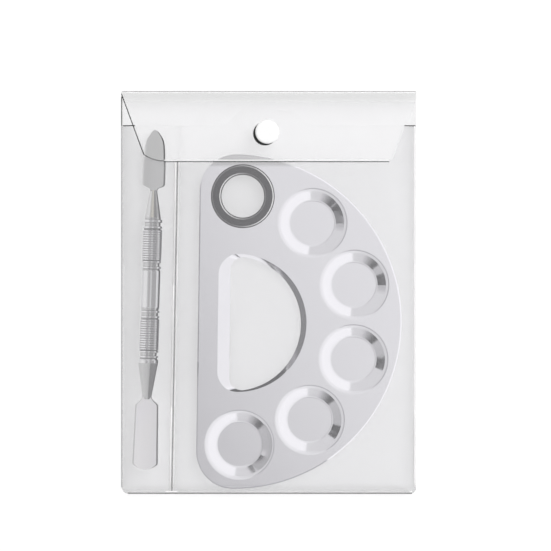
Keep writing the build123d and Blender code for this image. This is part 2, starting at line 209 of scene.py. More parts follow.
VIEW_CENTRE = (3.15, 8.0)
VIEW_WIDTH = 255.6
CAMERA_HEIGHT = 1500.0
SENSOR = 36.0
SUBJECT_Z = 5.0
CLIP_END_M = 10


def make_camera():
    """A long lens straight above the set."""
    data = bpy.data.cameras.new("camera")
    data.sensor_width = SENSOR
    data.lens = SENSOR * (CAMERA_HEIGHT - SUBJECT_Z) / VIEW_WIDTH
    data.clip_end = CLIP_END_M
    camera = bpy.data.objects.new("camera", data)
    camera.location = Vector((*VIEW_CENTRE, CAMERA_HEIGHT)) * MM
    bpy.context.scene.collection.objects.link(camera)
    bpy.context.scene.camera = camera


def add_stage_face(name, rim, material):
    """One flat four-cornered face of the stage, its corners in millimetres."""
    mesh = bpy.data.meshes.new(name)
    mesh.from_pydata([Vector(point) * MM for point in rim], [], [(0, 1, 2, 3)])
    mesh.materials.append(material)
    face = bpy.data.objects.new(name, mesh)
    bpy.context.scene.collection.objects.link(face)
    return face


FLOOR_GLOW = 0.71
FLOOR_ALBEDO = 0.35
# Where polished metal sees the table dark: (x from, x to, y from, y to)
FLOOR_DARK_PATCHES = [(-51.0, -31.0, -120.0, 120.0), (-27.0, 14.0, -50.0, -9.0)]
FLOOR_DARK_SHARE = 0.97
FLOOR_DARK_SOFTNESS = 1.5
FLOOR_HALF_W = 2000
FLOOR_Z = -0.1


def make_floor():
    """A white light table. Polished metal sees a dark strip on it left of the palette, and a dark patch under
    the window's lower right."""
    material, tree = empty_material("floor")
    matt = add_node(tree, "ShaderNodeBsdfDiffuse", {"Color": grey(FLOOR_ALBEDO)})
    table = add_node(tree, "ShaderNodeAddShader", {0: emission(tree, FLOOR_GLOW), 1: matt.outputs[0]})
    x, y, _ = split(tree, add_node(tree, "ShaderNodeNewGeometry").outputs["Position"])
    soft = FLOOR_DARK_SOFTNESS * MM
    dark = 0.0
    for x0, x1, y0, y1 in FLOOR_DARK_PATCHES:
        patch = 1.0
        for value, start, end in ((x, x0 * MM, x1 * MM), (y, y0 * MM, y1 * MM)):
            for edge, inside in ((start, soft), (end, -soft)):
                share = smooth_step(tree, value, edge - inside, edge + inside)
                patch = math_node(tree, "MULTIPLY", patch, share)
        dark = math_node(tree, "MAXIMUM", dark, patch)
    seen = emission(tree, math_node(tree, "MULTIPLY_ADD", dark, -FLOOR_DARK_SHARE, 1.0))
    path = add_node(tree, "ShaderNodeLightPath")
    choice = add_node(
        tree, "ShaderNodeMixShader", {0: path.outputs["Is Glossy Ray"], 1: table.outputs[0], 2: seen}
    )
    add_node(tree, "ShaderNodeOutputMaterial", {"Surface": choice.outputs[0]})
    half = FLOOR_HALF_W
    rim = [(x, y, FLOOR_Z) for x, y in ((-half, -half), (half, -half), (half, half), (-half, half))]
    add_stage_face("floor", rim, material)


# Studio light near the horizon, by direction round the set: (degrees from +X, radiance)
HORIZON = [
    (-180, 0.45),
    (-141, 0.52),
    (-138, 0.02),
    (-130, 0.04),
    (-106, 0.70),
    (-87, 0.75),
    (-84, 1.12),
    (80, 1.12),
    (84, 0.75),
    (160, 0.74),
    (172, 0.50),
    (180, 0.45),
]
SIDE_LIGHT_LEFT = 0.72
SIDE_LIGHT_RIGHT = 1.00
TOP_LIGHT_LEFT = 0.46
TOP_LIGHT_RIGHT = 0.885
# Where one light turns into the next: heights for the horizon and the top, and places across
HORIZON_TO_SIDE = (0.24, 0.34)
SIDE_TO_TOP = (0.86, 0.95)
SIDE_TURN = (-0.35, 0.35)
TOP_TURN = (-0.09, 0.03)
TOP_SLANT = 0.5


def make_world():
    """Soft studio light: a bright side at the right, a greyer one at the left, and a pale background."""
    world = bpy.data.worlds.new("studio")
    bpy.context.scene.world = world
    world.use_nodes = True
    tree = world.node_tree
    tree.nodes.clear()
    x, y, z = split(tree, add_node(tree, "ShaderNodeTexCoord").outputs["Generated"])
    turn = math_node(tree, "ARCTAN2", y, x)
    share = math_node(tree, "MULTIPLY_ADD", turn, 1 / (2 * math.pi), 0.5)
    ramp = add_node(tree, "ShaderNodeValToRGB", {0: share})
    stops = ramp.color_ramp.elements
    while len(stops) < len(HORIZON):
        stops.new(1.0)
    for stop, (angle, radiance) in zip(stops, HORIZON):
        stop.position = angle / 360 + 0.5
        stop.color = grey(radiance)
    side = ranged(tree, x, SIDE_TURN, (SIDE_LIGHT_LEFT, SIDE_LIGHT_RIGHT))
    slant = math_node(tree, "MULTIPLY_ADD", y, TOP_SLANT, x)
    top = ranged(tree, slant, TOP_TURN, (TOP_LIGHT_LEFT, TOP_LIGHT_RIGHT), "SMOOTHSTEP")
    upper = add_node(
        tree,
        "ShaderNodeMix",
        {"Factor": smooth_step(tree, z, *SIDE_TO_TOP), "A": side, "B": top},
        data_type="FLOAT",
    ).outputs["Result"]
    light = mix_colour(tree, smooth_step(tree, z, *HORIZON_TO_SIDE), ramp.outputs["Color"], upper)
    lit = add_node(tree, "ShaderNodeBackground", {"Color": light})
    pale = add_node(tree, "ShaderNodeBackground", {"Color": grey(1)})
    path = add_node(tree, "ShaderNodeLightPath")
    choice = add_node(
        tree,
        "ShaderNodeMixShader",
        {0: path.outputs["Is Camera Ray"], 1: lit.outputs[0], 2: pale.outputs[0]},
    )
    add_node(tree, "ShaderNodeOutputWorld", {"Surface": choice.outputs[0]})


# Cards that only polished metal sees, and only between two distances: (name, start and end in plan,
# heights, radiance, nearest, furthest)
CARDS = [
    ("well_flag", (-76, -45), (-76, 11), (9, 38), 0.0, 60, 1000),
    ("spatula_white_card", (-84, -95), (-84, 85), (8, 60), 1.15, 0, 44),
    ("spatula_grey_card", (-40, -95), (-40, 58), (11.5, 60), 0.42, 0, 60),
    ("window_card", (-37, -36), (-37, 38), (1, 20), 0.15, 42, 78),
    ("hem_card", (-58, -97.5), (40, -97.5), (2, 14), 0.48, 0, 26),
]


def make_cards():
    """A black flag for the wells, cards on either side of the spatula, and dark cards for the window's right
    lip and the palette's lower rim."""
    for name, (x0, y0), (x1, y1), (z0, z1), radiance, nearest, furthest in CARDS:
        material, tree = empty_material(name)
        reach = add_node(tree, "ShaderNodeLightPath").outputs["Ray Length"]
        far_enough = math_node(tree, "GREATER_THAN", reach, nearest * MM)
        near_enough = math_node(tree, "LESS_THAN", reach, furthest * MM)
        share = math_node(tree, "MULTIPLY", far_enough, near_enough)
        clear = add_node(tree, "ShaderNodeBsdfTransparent").outputs[0]
        choice = add_node(tree, "ShaderNodeMixShader", {0: share, 1: clear, 2: emission(tree, radiance)})
        add_node(tree, "ShaderNodeOutputMaterial", {"Surface": choice.outputs[0]})
        card = add_stage_face(name, ((x0, y0, z0), (x1, y1, z0), (x1, y1, z1), (x0, y0, z1)), material)
        card.visible_camera = False
        card.visible_diffuse = False
        card.visible_shadow = False
        card.visible_transmission = False


KEY_SIZE_M = 0.6
KEY_POWER_W = 4.2
KEY_PLACE_M = (0.5, 0.5, 0.9)


def make_lamp():
    """A weak soft key light from the upper right."""
    data = bpy.data.lights.new("key", "AREA")
    data.size = KEY_SIZE_M
    data.energy = KEY_POWER_W
    lamp = bpy.data.objects.new("key", data)
    lamp.location = KEY_PLACE_M
    lamp.rotation_euler = (-lamp.location).to_track_quat("-Z", "Y").to_euler()
    lamp.visible_glossy = False
    bpy.context.scene.collection.objects.link(lamp)


# ---------------------------------------------------------------- film materials

FILM_ROUGHNESS = 0.22
FILM_IOR = 1.45
FILM_COOL = 0.03
FILM_GRAIN_SCALE = 35.0
FILM_RIPPLE_SCALE = 90.0
FILM_RIPPLE = 0.15
FILM_RIPPLE_DEPTH = 0.2
FILM_MOTTLE = 0.06
FILM_ALPHA = 0.142
FILM_CLEAR = 0.60
# The film's grey where shade is painted in
FILM_SHADED = 0.12
FILM_MILKY = 0.8
FILM_COVERED_ALPHA = 0.015
FLAP_ALPHA = 0.05
FLAP_MILK = 0.8
# The flap's grey where shade is painted in; the line after gives its alpha there
FLAP_SHADED = 0.15
FLAP_FOLD_ALPHA = 0.085


def film_material(name, alpha, clear, shaded, covered_alpha=None, shaded_alpha=None):
    """Soft clear film. The attribute shade is above 0 where painted shade darkens it, where it bends at
    welds, folds and edges, and below 0 under the flap, where it is paler and clearer."""
    material, tree, shader = new_material(name)
    shade = add_node(tree, "ShaderNodeAttribute", attribute_name="shade").outputs["Fac"]
    place = object_place(tree)
    grain = noise(tree, place, FILM_GRAIN_SCALE, 3.0)
    mottle = math_node(tree, "MULTIPLY_ADD", grain, FILM_MOTTLE, -FILM_MOTTLE / 2)
    share = math_node(tree, "ADD", shade, mottle, clamp=True)
    plain = mix_colour(tree, share, grey(clear, FILM_COOL), grey(shaded, FILM_COOL))
    milk = math_node(tree, "MULTIPLY", shade, -1.0, clamp=True)
    tree.links.new(mix_colour(tree, milk, plain, grey(FILM_MILKY)), shader["Base Color"])
    shader["Roughness"].default_value = FILM_ROUGHNESS
    shader["IOR"].default_value = FILM_IOR
    shader["Alpha"].default_value = alpha
    for where, other_alpha in ((milk, covered_alpha), (share, shaded_alpha)):
        if other_alpha:
            changed = math_node(tree, "MULTIPLY_ADD", where, other_alpha - alpha, alpha)
            tree.links.new(changed, shader["Alpha"])
    add_bump(tree, shader, noise(tree, place, FILM_RIPPLE_SCALE), FILM_RIPPLE, FILM_RIPPLE_DEPTH)
    return material


LINE_GRAIN_SCALE = 150.0
LINE_GRAIN = 0.15
LINE_ROUGHNESS = 0.3


def line_material(name, level, alpha, glow=0.0):
    """A cut edge, crease or weld of the film as a line of flat colour. Dark lines are partly the film's own
    edges and partly painted shade; light lines are painted highlights, and glow makes them shine by
    themselves.
    """
    material, tree, shader = new_material(name)
    grain = noise(tree, object_place(tree), LINE_GRAIN_SCALE)
    low, high = grey(level * (1 - LINE_GRAIN)), grey(level * (1 + LINE_GRAIN))
    tree.links.new(mix_colour(tree, grain, low, high), shader["Base Color"])
    shader["Roughness"].default_value = LINE_ROUGHNESS
    shader["Alpha"].default_value = alpha
    shader["Emission Color"].default_value = grey(1)
    shader["Emission Strength"].default_value = glow
    return material


# ---------------------------------------------------------------- film geometry


def add_piece(name, points, faces, body, material, attributes=None):
    """A smooth mesh piece from points in millimetres, riding on a body unless body is None."""
    mesh = bpy.data.meshes.new(name)
    mesh.from_pydata(np.asarray(points) * MM, [], faces)
    mesh.materials.append(material)
    for key, values in (attributes or {}).items():
        attribute = mesh.attributes.new(key, "FLOAT", "POINT")
        attribute.data.foreach_set("value", np.asarray(values, np.float32).ravel())
    for polygon in mesh.polygons:
        polygon.use_smooth = True
    mesh.update()
    piece = bpy.data.objects.new(name, mesh)
    piece.visible_glossy = False
    bpy.context.scene.collection.objects.link(piece)
    if body:
        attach(piece, body)
    return piece


def grid_faces(rows, columns, close_rows=False):
    """Quads over a grid of points, row by row."""
    faces = []
    last = rows if close_rows else rows - 1
    for r in range(last):
        for c in range(columns - 1):
            here = r * columns + c
            there = ((r + 1) % rows) * columns + c
            faces.append((here, here + 1, there + 1, there))
    return faces


def add_sheet(name, grid, shade, body, material):
    """A sheet of film from a grid of points on its middle surface, with its real thickness."""
    rows, columns = grid.shape[:2]
    piece = add_piece(
        name, grid.reshape(-1, 3), grid_faces(rows, columns), body, material, {"shade": shade}
    )
    solid = piece.modifiers.new("thickness", "SOLIDIFY")
    solid.thickness = FILM * MM
    solid.offset = 0
    return piece


def spaced(low, high, step):
    """Evenly spaced values from low to high, about step apart."""
    return np.linspace(low, high, max(2, round((high - low) / step) + 1))


def divider_x(y):
    """Where the divider weld's centre line lies at a height y."""
    slope = (DIVIDER_TOP[0] - DIVIDER_BOTTOM[0]) / (DIVIDER_TOP[1] - DIVIDER_BOTTOM[1])
    return DIVIDER_TOP[0] + slope * (y - DIVIDER_TOP[1])


def mouth_y(x):
    """The front panel's free edge: level, with a round-shouldered tab for the stud."""
    rise = np.interp(x, TAB_LEFT, (0, 1))
    fall = np.interp(x, TAB_RIGHT, (1, 0))
    share = np.minimum(rise, fall)
    return MOUTH_Y + (TAB_Y - MOUTH_Y) * share * share * (3 - 2 * share)


def corner_cut(x):
    """How far the bottom corners' rounding lifts the pouch's lower edge."""
    cut = np.zeros_like(x)
    for side, radius in ((-1, CORNER_LEFT_R), (1, CORNER_RIGHT_R)):
        beyond = np.clip(side * x - (SIDE_X - radius), 0, radius)
        cut += radius - np.sqrt(np.maximum(radius**2 - beyond**2, 0.01 * radius**2))
    return cut


MEMBRANE_STEP = 1.0
MEMBRANE_ROUNDS = 1400
PRESSURE = 0.002
START_Z = 2.0
LOOSE_Z = 6.7
LOOSE_GAP = 0.5
CLEARANCE = 0.35
STUD_FLAT_R = 6.0
HEM_PINCH = 7.0
SLIDES = {
    "palette": (("palette_plate", "thumb_ring"), "palette_slide"),
    "spatula": (("spatula_handle", "leaf_blade", "square_blade"), "spatula_slide"),
}


def heights_over(names, xs, ys):
    """The highest point of some CAD nodes over each place of a grid, in millimetres."""
    top = np.zeros((len(ys), len(xs)))
    for name in names:
        mesh = nodes[name].data
        tree = BVHTree.FromPolygons(
            [v.co for v in mesh.vertices], [tuple(p.vertices) for p in mesh.polygons]
        )
        low, high = corners(name)
        for r in np.nonzero((ys > low[1] - 1) & (ys < high[1] + 1))[0]:
            for c in np.nonzero((xs > low[0] - 1) & (xs < high[0] + 1))[0]:
                hit = tree.ray_cast(Vector((xs[c] * MM, ys[r] * MM, 1)), Vector((0, 0, -1)))[0]
                if hit:
                    top[r, c] = max(top[r, c], hit.z / MM)
    return top


def spread_up(top, travel):
    """The heights swept when the contents slide up by a travel, with one cell to spare all round."""
    swept = top.copy()
    for shift in range(1, int(travel / MEMBRANE_STEP) + 2):
        swept[shift:] = np.maximum(swept[shift:], top[:-shift])
    wide = swept.copy()
    for dy in (-1, 0, 1):
        for dx in (-1, 0, 1):
            wide = np.maximum(wide, np.roll(swept, (dy, dx), (0, 1)))
    return wide


class Membrane:
    """The front film as a stretched membrane over the contents, held at its welds."""

    def __init__(self):
        weld_z = 1.5 * FILM
        self.xs = spaced(-SIDE_X, SIDE_X, MEMBRANE_STEP)
        self.ys = spaced(HEM_Y, TAB_Y, MEMBRANE_STEP)
        grid_x, grid_y = np.meshgrid(self.xs, self.ys)
        lowest = np.full(grid_x.shape, weld_z)
        joints = {j["name"]: j for j in frame["joints"]}
        for names, joint in SLIDES.values():
            travel = max(joints[joint]["range_m"]) / MM
            top = spread_up(heights_over(names, self.xs, self.ys), travel)
            lowest = np.maximum(lowest, np.where(top > 0, top + CLEARANCE, 0))
        rivet_low, rivet_high = corners("stud_rivet")
        middle = (rivet_low + rivet_high) / 2
        at_stud = (grid_x - middle[0]) ** 2 + (grid_y - middle[1]) ** 2 < STUD_FLAT_R**2
        self.stud_z = corners("snap_stud")[0][2] - FILM / 2
        held = np.abs(grid_x) > SIDE_X - SIDE_WELD
        held |= np.abs(grid_x - divider_x(grid_y)) < DIVIDER_HALF_W
        hem = self.hem_height(grid_x[0])
        highest = np.maximum(lowest + LOOSE_GAP, LOOSE_Z)
        z = np.maximum(lowest, START_Z)
        for _ in range(MEMBRANE_ROUNDS):
            padded = np.pad(z, 1, mode="edge")
            mean = (padded[1:-1, :-2] + padded[1:-1, 2:] + padded[:-2, 1:-1] + padded[2:, 1:-1]) / 4
            z = np.clip(mean + PRESSURE, lowest, highest)
            z[at_stud] = self.stud_z
            z[held] = weld_z
            z[0] = hem
        self.z = z

    def hem_height(self, x):
        """The front film's height where the bottom fold ends: pinched at the welds."""
        gap = np.minimum(SIDE_X - SIDE_WELD - np.abs(x), np.abs(x - divider_x(HEM_Y)) - DIVIDER_HALF_W)
        share = np.clip(gap / HEM_PINCH, 0, 1)
        return 1.5 * FILM + 2 * HEM_RISE * np.sqrt(share * (2 - share))

    def at(self, x, y):
        """The height at places x, y, in millimetres."""
        c = np.clip((x - self.xs[0]) / (self.xs[1] - self.xs[0]), 0, len(self.xs) - 1.001)
        r = np.clip((y - self.ys[0]) / (self.ys[1] - self.ys[0]), 0, len(self.ys) - 1.001)
        c0, r0 = c.astype(int), r.astype(int)
        u, v = c - c0, r - r0
        low = self.z[r0, c0] * (1 - u) + self.z[r0, c0 + 1] * u
        high = self.z[r0 + 1, c0] * (1 - u) + self.z[r0 + 1, c0 + 1] * u
        return low * (1 - v) + high * v


COLUMN_STEP = 0.8


def panel_columns():
    """Column positions of the front film: fine near the welds, and lined up with the divider's edges."""
    middle = divider_x(0)
    left = spaced(-SIDE_X + SIDE_WELD, middle - DIVIDER_HALF_W, COLUMN_STEP)
    right = spaced(middle + DIVIDER_HALF_W, SIDE_X - SIDE_WELD, COLUMN_STEP)
    return np.concatenate([[-SIDE_X], left, [middle], right, [SIDE_X]])


def warp(columns, y):
    """Columns at a height y, sheared so that the middle ones follow the slanted divider."""
    middle = divider_x(0)
    left = np.interp(columns, (-SIDE_X, middle - DIVIDER_HALF_W), (0, 1))
    right = np.interp(columns, (middle + DIVIDER_HALF_W, SIDE_X), (1, 0))
    return columns + (divider_x(y) - middle) * np.minimum(left, right)


# How much painted shade darkens the film near its welds, hem and edges: (at the edge, how far it reaches)
SIDE_SHADE = (0.65, 8.0)
DIVIDER_SHADE_LEFT = (0.36, 9.0)
DIVIDER_SHADE_RIGHT = (0.42, 5.0)
HEM_SHADE = (0.25, 2.0)
BACK_EDGE_SHADE = (0.3, 4.0)
WELD_SHADE = 0.1
HEM_FOLD_SHADE = (0.2, 0.5)
FLAP_FOLD_FROM_Y = 81.0
FLAP_FOLD_REACH = 10.0
FLAP_FOLD_POWER = 1.3
FRONT_ROWS = 200
FLAP_COLUMNS = 90


def shade_from(distance, shade):
    """A shade that fades with the distance from where it starts."""
    strength, reach = shade
    return strength * fade(distance, reach)


def fade(distance, reach):
    """1 at a distance of nothing, falling smoothly to 0 at reach."""
    share = np.clip(1 - distance / reach, 0, 1)
    return share * share


def make_front_film(membrane):
    """The front film: folded round the hem, welded at the sides and divider, draped over the contents."""
    columns = panel_columns()
    rows, shades = [], []
    reach = HEM_Y - BOTTOM_Y - corner_cut(columns)
    x = warp(columns, HEM_Y)
    rise = (membrane.at(x, np.full_like(x, HEM_Y)) - FILM / 2) / 2
    for angle in np.radians(spaced(-90, 90, 12)[:-1]):
        y = HEM_Y - (reach - FILM / 2) * math.cos(angle)
        z = FILM / 2 + rise * (1 + math.sin(angle))
        rows.append(np.stack([x, y, z], 1))
        # Painted shade in the hem's fold
        shades.append(np.full_like(x, HEM_FOLD_SHADE[0] + HEM_FOLD_SHADE[1] * math.cos(angle)))
    for share in np.linspace(0, 1, FRONT_ROWS):
        x = warp(columns, HEM_Y + share * (MOUTH_Y - HEM_Y))
        y = HEM_Y + share * (mouth_y(x) - HEM_Y)
        z = membrane.at(x, y)
        rows.append(np.stack([x, y, z], 1))
        # Painted shade near the side welds, the divider and the hem; paler, clearer film under the flap
        inside = SIDE_X - SIDE_WELD - np.abs(x)
        side = np.where(inside < 0.01, WELD_SHADE, shade_from(inside, SIDE_SHADE))
        off = x - divider_x(y)
        left = shade_from(-off - DIVIDER_HALF_W, DIVIDER_SHADE_LEFT)
        right = shade_from(off - DIVIDER_HALF_W, DIVIDER_SHADE_RIGHT)
        middle = np.where(off < 0, left, right)
        foot = shade_from(y - HEM_Y, HEM_SHADE)
        under_flap = np.minimum(x - flap_left(y), flap_right(y) - x)
        milk = np.clip(np.minimum(under_flap, y - EDGE_Y) - 0.3, 0, 1)
        shades.append(np.maximum.reduce([side, middle, foot]) - milk)
    grid = np.stack(rows)
    film = add_sheet("front_film", grid, np.stack(shades), "pouch", materials["front_film"])
    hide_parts("front_panel")


def make_back_film():
    """The flat back film, from the hem to the top fold."""
    columns = spaced(-SIDE_X, SIDE_X, 1.5)
    grid = np.stack(
        [
            np.stack([columns, np.full_like(columns, y), np.full_like(columns, FILM / 2)], 1)
            for y in spaced(HEM_Y, FOLD_Y, 1.5)
        ]
    )
    # Painted shade along the back film's sides
    edge = shade_from(SIDE_X - np.abs(grid[..., 0]), BACK_EDGE_SHADE)
    film = add_sheet("back_film", grid, edge, "pouch", materials["film"])
    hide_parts("back_panel")
    return film


# ---------------------------------------------------------------- flap


def flap_left(y):
    """The flap's left edge at a height y: slanted, then a long round corner down to the free edge."""
    (turn_x, turn_y), run = TURN, ARC_END_X - TURN[0]
    drop = turn_y - EDGE_Y
    radius = (run**2 + drop**2) / (2 * drop)
    up = np.clip(y - EDGE_Y, 0, drop)
    arc = ARC_END_X - np.sqrt(np.maximum(2 * radius * up - up**2, 0))
    slant = np.interp(y, (turn_y, LEFT_TOP_Y), (turn_x, -SIDE_X))
    return np.where(y < turn_y, arc, slant)


def flap_right(y):
    """The flap's right edge at a height y: slanted, with a tight round corner."""
    slant = np.interp(y, (EDGE_Y, RIGHT_TOP_Y), (RIGHT_X, SIDE_X))
    up = np.clip(y - EDGE_Y, 0, RIGHT_R)
    return slant - (RIGHT_R - np.sqrt(np.maximum(2 * RIGHT_R * up - up**2, 0)))


def flap_height(y):
    """The height of the flap's middle surface on its flat and where it curves down to the free edge."""
    top = 2 * FOLD_R - FILM / 2
    run = FLAT_Y - EDGE_Y
    drop = 2 * FOLD_R - FILM - EDGE_Z
    radius = (run**2 + drop**2) / (2 * drop)
    past = np.clip(FLAT_Y - y, 0, run)
    return top - (radius - np.sqrt(radius**2 - past**2))


def flap_profile():
    """(y, z, whether the plan's slanted sides apply) down the flap's middle line, from the back film."""
    middle_r = FOLD_R - FILM / 2
    stations = []
    for angle in np.radians(spaced(-90, 90, 7)):
        y = FOLD_Y + middle_r * math.cos(angle)
        stations.append((y, FOLD_R + middle_r * math.sin(angle), angle > 0))
    flat = spaced(FLAT_Y, FOLD_Y, 1.2)[::-1][1:]
    drop = TURN[1] - EDGE_Y
    bends = EDGE_Y + drop * np.linspace(1, 0, 22) ** 2
    down = np.unique(np.concatenate([spaced(TURN[1], FLAT_Y, 0.6)[:-1], bends]))[::-1]
    stations += [(y, float(flap_height(y)), True) for y in np.concatenate([flat, down])]
    return stations


def make_flap_film():
    """The milky flap and the fold that it leaves, as one sheet."""
    share = np.linspace(0, 1, FLAP_COLUMNS)
    rows, shades = [], []
    for y, z, slanted in flap_profile():
        low = float(flap_left(y)) if slanted else -SIDE_X
        high = float(flap_right(y)) if slanted else SIDE_X
        x = low + (high - low) * share
        rows.append(np.stack([x, np.full_like(x, y), np.full_like(x, z)], 1))
        # Painted shade on the flap, growing towards its top fold
        fold_share = np.clip((y - FLAP_FOLD_FROM_Y) / FLAP_FOLD_REACH, 0, 1)
        shades.append(np.full_like(x, fold_share**FLAP_FOLD_POWER))
    film = add_sheet("flap_film", np.stack(rows), np.stack(shades), None, materials["flap_film"])
    bend_flap(film)
    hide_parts("flap", "top_fold")


def bend_flap(piece):
    """Bakes a flap piece's placement into its points."""
    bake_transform(piece)


# ---------------------------------------------------------------- cut edges and weld ridges


BEAD_SECTION = [(-0.5, 0), (-0.3, 0.75), (0, 1), (0.3, 0.75), (0.5, 0)]
BEAD_HEIGHT = 0.1
CUT_HEIGHT = 0.12


def bead(name, path, width, height, material, body):
    """A thin crowned ridge of film along a path: a cut edge, a crease or a weld."""
    path = np.asarray(path, float)
    along = np.gradient(path, axis=0)
    along /= np.linalg.norm(along, axis=1)[:, None]
    side = np.stack([along[:, 1], -along[:, 0], np.zeros(len(path))], 1)
    side /= np.linalg.norm(side, axis=1)[:, None]
    up = np.cross(side, along)
    rows = []
    for across, lift in BEAD_SECTION:
        rows.append(path + side * across * width + up * lift * height)
    rows = np.stack(rows)
    count, length = rows.shape[:2]
    faces = grid_faces(count, length, close_rows=True)
    faces.append(tuple(range(0, count * length, length)))
    faces.append(tuple(range(length - 1, count * length, length))[::-1])
    piece = add_piece(name, rows.reshape(-1, 3), faces, body, material)
    return piece


def line_points(start, end, step=1.5):
    """Points from start to end, about step apart."""
    start, end = np.array(start, float), np.array(end, float)
    count = max(2, round(np.linalg.norm(end - start) / step) + 1)
    return [start + (end - start) * t for t in np.linspace(0, 1, count)]


def make_flap_edges():
    """The flap's cut edges: dark down the left slant, softer round the corner, a painted highlight along the
    foot.
    """
    on_top = FILM / 2
    slant_y = np.linspace(LEFT_TOP_Y - 0.2, TURN[1], 40)
    middle_r = FOLD_R - FILM / 2

    def surface(y):
        if y > FOLD_Y:
            return FOLD_R + math.sqrt(max(middle_r**2 - (y - FOLD_Y) ** 2, 0)) + on_top
        return float(flap_height(y)) + on_top

    inward = 0.25
    slant = [(float(flap_left(y)) + inward, y, surface(y)) for y in slant_y]
    crease_y = FOLD_Y + middle_r - 0.05
    for name, y, width, look in (
        ("fold_crease", crease_y, 0.5, "line_faint"),
        ("fold_ridge", crease_y - 0.55, 0.45, "line_highlight"),
    ):
        path = line_points((-SIDE_X + 0.6, y, surface(y)), (SIDE_X - 0.4, y, surface(y)))
        bend_flap(bead(name, path, width, BEAD_HEIGHT, materials[look], None))
    edge = bead("flap_edge_left", slant, 0.5, CUT_HEIGHT, materials["line_dark"], None)
    bend_flap(edge)
    drop = TURN[1] - EDGE_Y
    corner_y = EDGE_Y + drop * np.linspace(1, 0.0004, 24) ** 2
    corner = [(float(flap_left(y)), y + 0.25, surface(y)) for y in corner_y]
    bead("flap_edge_corner", corner, 0.5, CUT_HEIGHT, materials["line_soft"], "flap")
    low_x, high_x = ARC_END_X + 0.3, RIGHT_X - RIGHT_R
    for name, y, width, look in (
        ("flap_edge_foot", EDGE_Y - 0.05, 0.6, "line_soft"),
        ("flap_edge_ridge", EDGE_Y + 0.55, 0.45, "line_highlight"),
    ):
        z = surface(max(y, EDGE_Y))
        foot = line_points((low_x, y, z), (high_x, y, z))
        bead(name, foot, width, BEAD_HEIGHT, materials[look], "flap")


def make_pouch_edges(membrane):
    """The pouch's cut edges, welds and folds."""
    weld_z = 2 * FILM
    foot_y = BOTTOM_Y + CORNER_LEFT_R
    mouth_left = flap_left(np.array([MOUTH_Y]))[0]
    mouth_right = flap_right(np.array([MOUTH_Y]))[0]

    def on_divider(y, off):
        return (float(divider_x(y)) + off, y, weld_z)

    top = EDGE_Y + 0.4
    for name, off, width, look in (
        ("divider_ridge_left", -0.75, 0.95, "line_highlight"),
        ("divider_weld", 0.05, 0.65, "line_faint"),
        ("divider_ridge_right", 0.75, 0.5, "line_highlight"),
    ):
        path = line_points(on_divider(BOTTOM_Y + 1.0, off), on_divider(top, off))
        bead(name, path, width, BEAD_HEIGHT, materials[look], "pouch")
    edge_x = -SIDE_X + 0.08
    left = line_points((edge_x, foot_y, weld_z), (edge_x, MOUTH_Y, weld_z))
    bead("side_edge_left", left, 0.5, BEAD_HEIGHT, materials["line_faint"], "pouch")
    upper = line_points((edge_x, MOUTH_Y, FILM), (edge_x, LEFT_TOP_Y - 1, FILM))
    bead("side_edge_top_left", upper, 0.5, BEAD_HEIGHT, materials["line_dark"], "pouch")
    right = line_points((SIDE_X - 0.5, foot_y, weld_z), (SIDE_X - 0.5, MOUTH_Y, weld_z))
    bead("side_edge_right", right, 0.6, BEAD_HEIGHT, materials["line_highlight"], "pouch")
    hem_x = (-SIDE_X + CORNER_LEFT_R, SIDE_X - CORNER_RIGHT_R)
    for name, y, width, look in (
        ("hem_crease", BOTTOM_Y + 0.3, 0.6, "line_soft"),
        ("hem_ridge", BOTTOM_Y + 1.2, 0.6, "line_highlight"),
    ):
        z = HEM_RISE + 2 * FILM
        foot = line_points((hem_x[0], y, z), (hem_x[1], y, z))
        bead(name, foot, width, BEAD_HEIGHT, materials[look], "pouch")
    for name, low, high in (
        ("mouth_edge_left", -SIDE_X + 0.6, mouth_left + 1.0),
        ("mouth_edge_right", mouth_right - 1.0, SIDE_X - 0.2),
    ):
        x = spaced(low, high, 0.5)
        y = mouth_y(x) - 0.05
        z = membrane.at(x, y) + FILM / 2
        lip = np.stack([x, y, z], 1)
        bead(name, lip, 0.5, BEAD_HEIGHT, materials["line_dark"], "pouch")


materials = {}


def make_materials():
    """Every material by name."""
    look = (FILM_ALPHA, FILM_CLEAR, FILM_SHADED)
    materials["film"] = film_material("clear_film", *look)
    materials["front_film"] = film_material("front_film", *look, FILM_COVERED_ALPHA)
    materials["flap_film"] = film_material(
        "milky_film", FLAP_ALPHA, FLAP_MILK, FLAP_SHADED, shaded_alpha=FLAP_FOLD_ALPHA
    )
    # Dark film lines: partly real edges and welds, partly painted shade. The light one: a glowing painted
    # highlight
    materials["line_dark"] = line_material("film_edge_dark", level=0.02, alpha=0.75)
    materials["line_soft"] = line_material("film_edge_soft", level=0.05, alpha=0.45)
    materials["line_faint"] = line_material("film_edge_faint", level=0.1, alpha=0.3)
    materials["line_highlight"] = line_material("film_edge_highlight", level=0.95, alpha=0.75, glow=0.16)


# ---------------------------------------------------------------- metal, rubber and plastic


STEEL_COOL = 0.035
STEEL_MARKS_SCALE = 60.0
STEEL_MARK = 0.03
STEEL_MARK_ROUGH = 0.04
STEEL_GRAIN = 0.12
STEEL_GRAIN_DEPTH = 0.02
BLADE_GRAIN = (2500, 300, 300)
HANDLE_GRAIN = (300, 2500, 300)
PALETTE_GRAIN = (900, 900, 900)


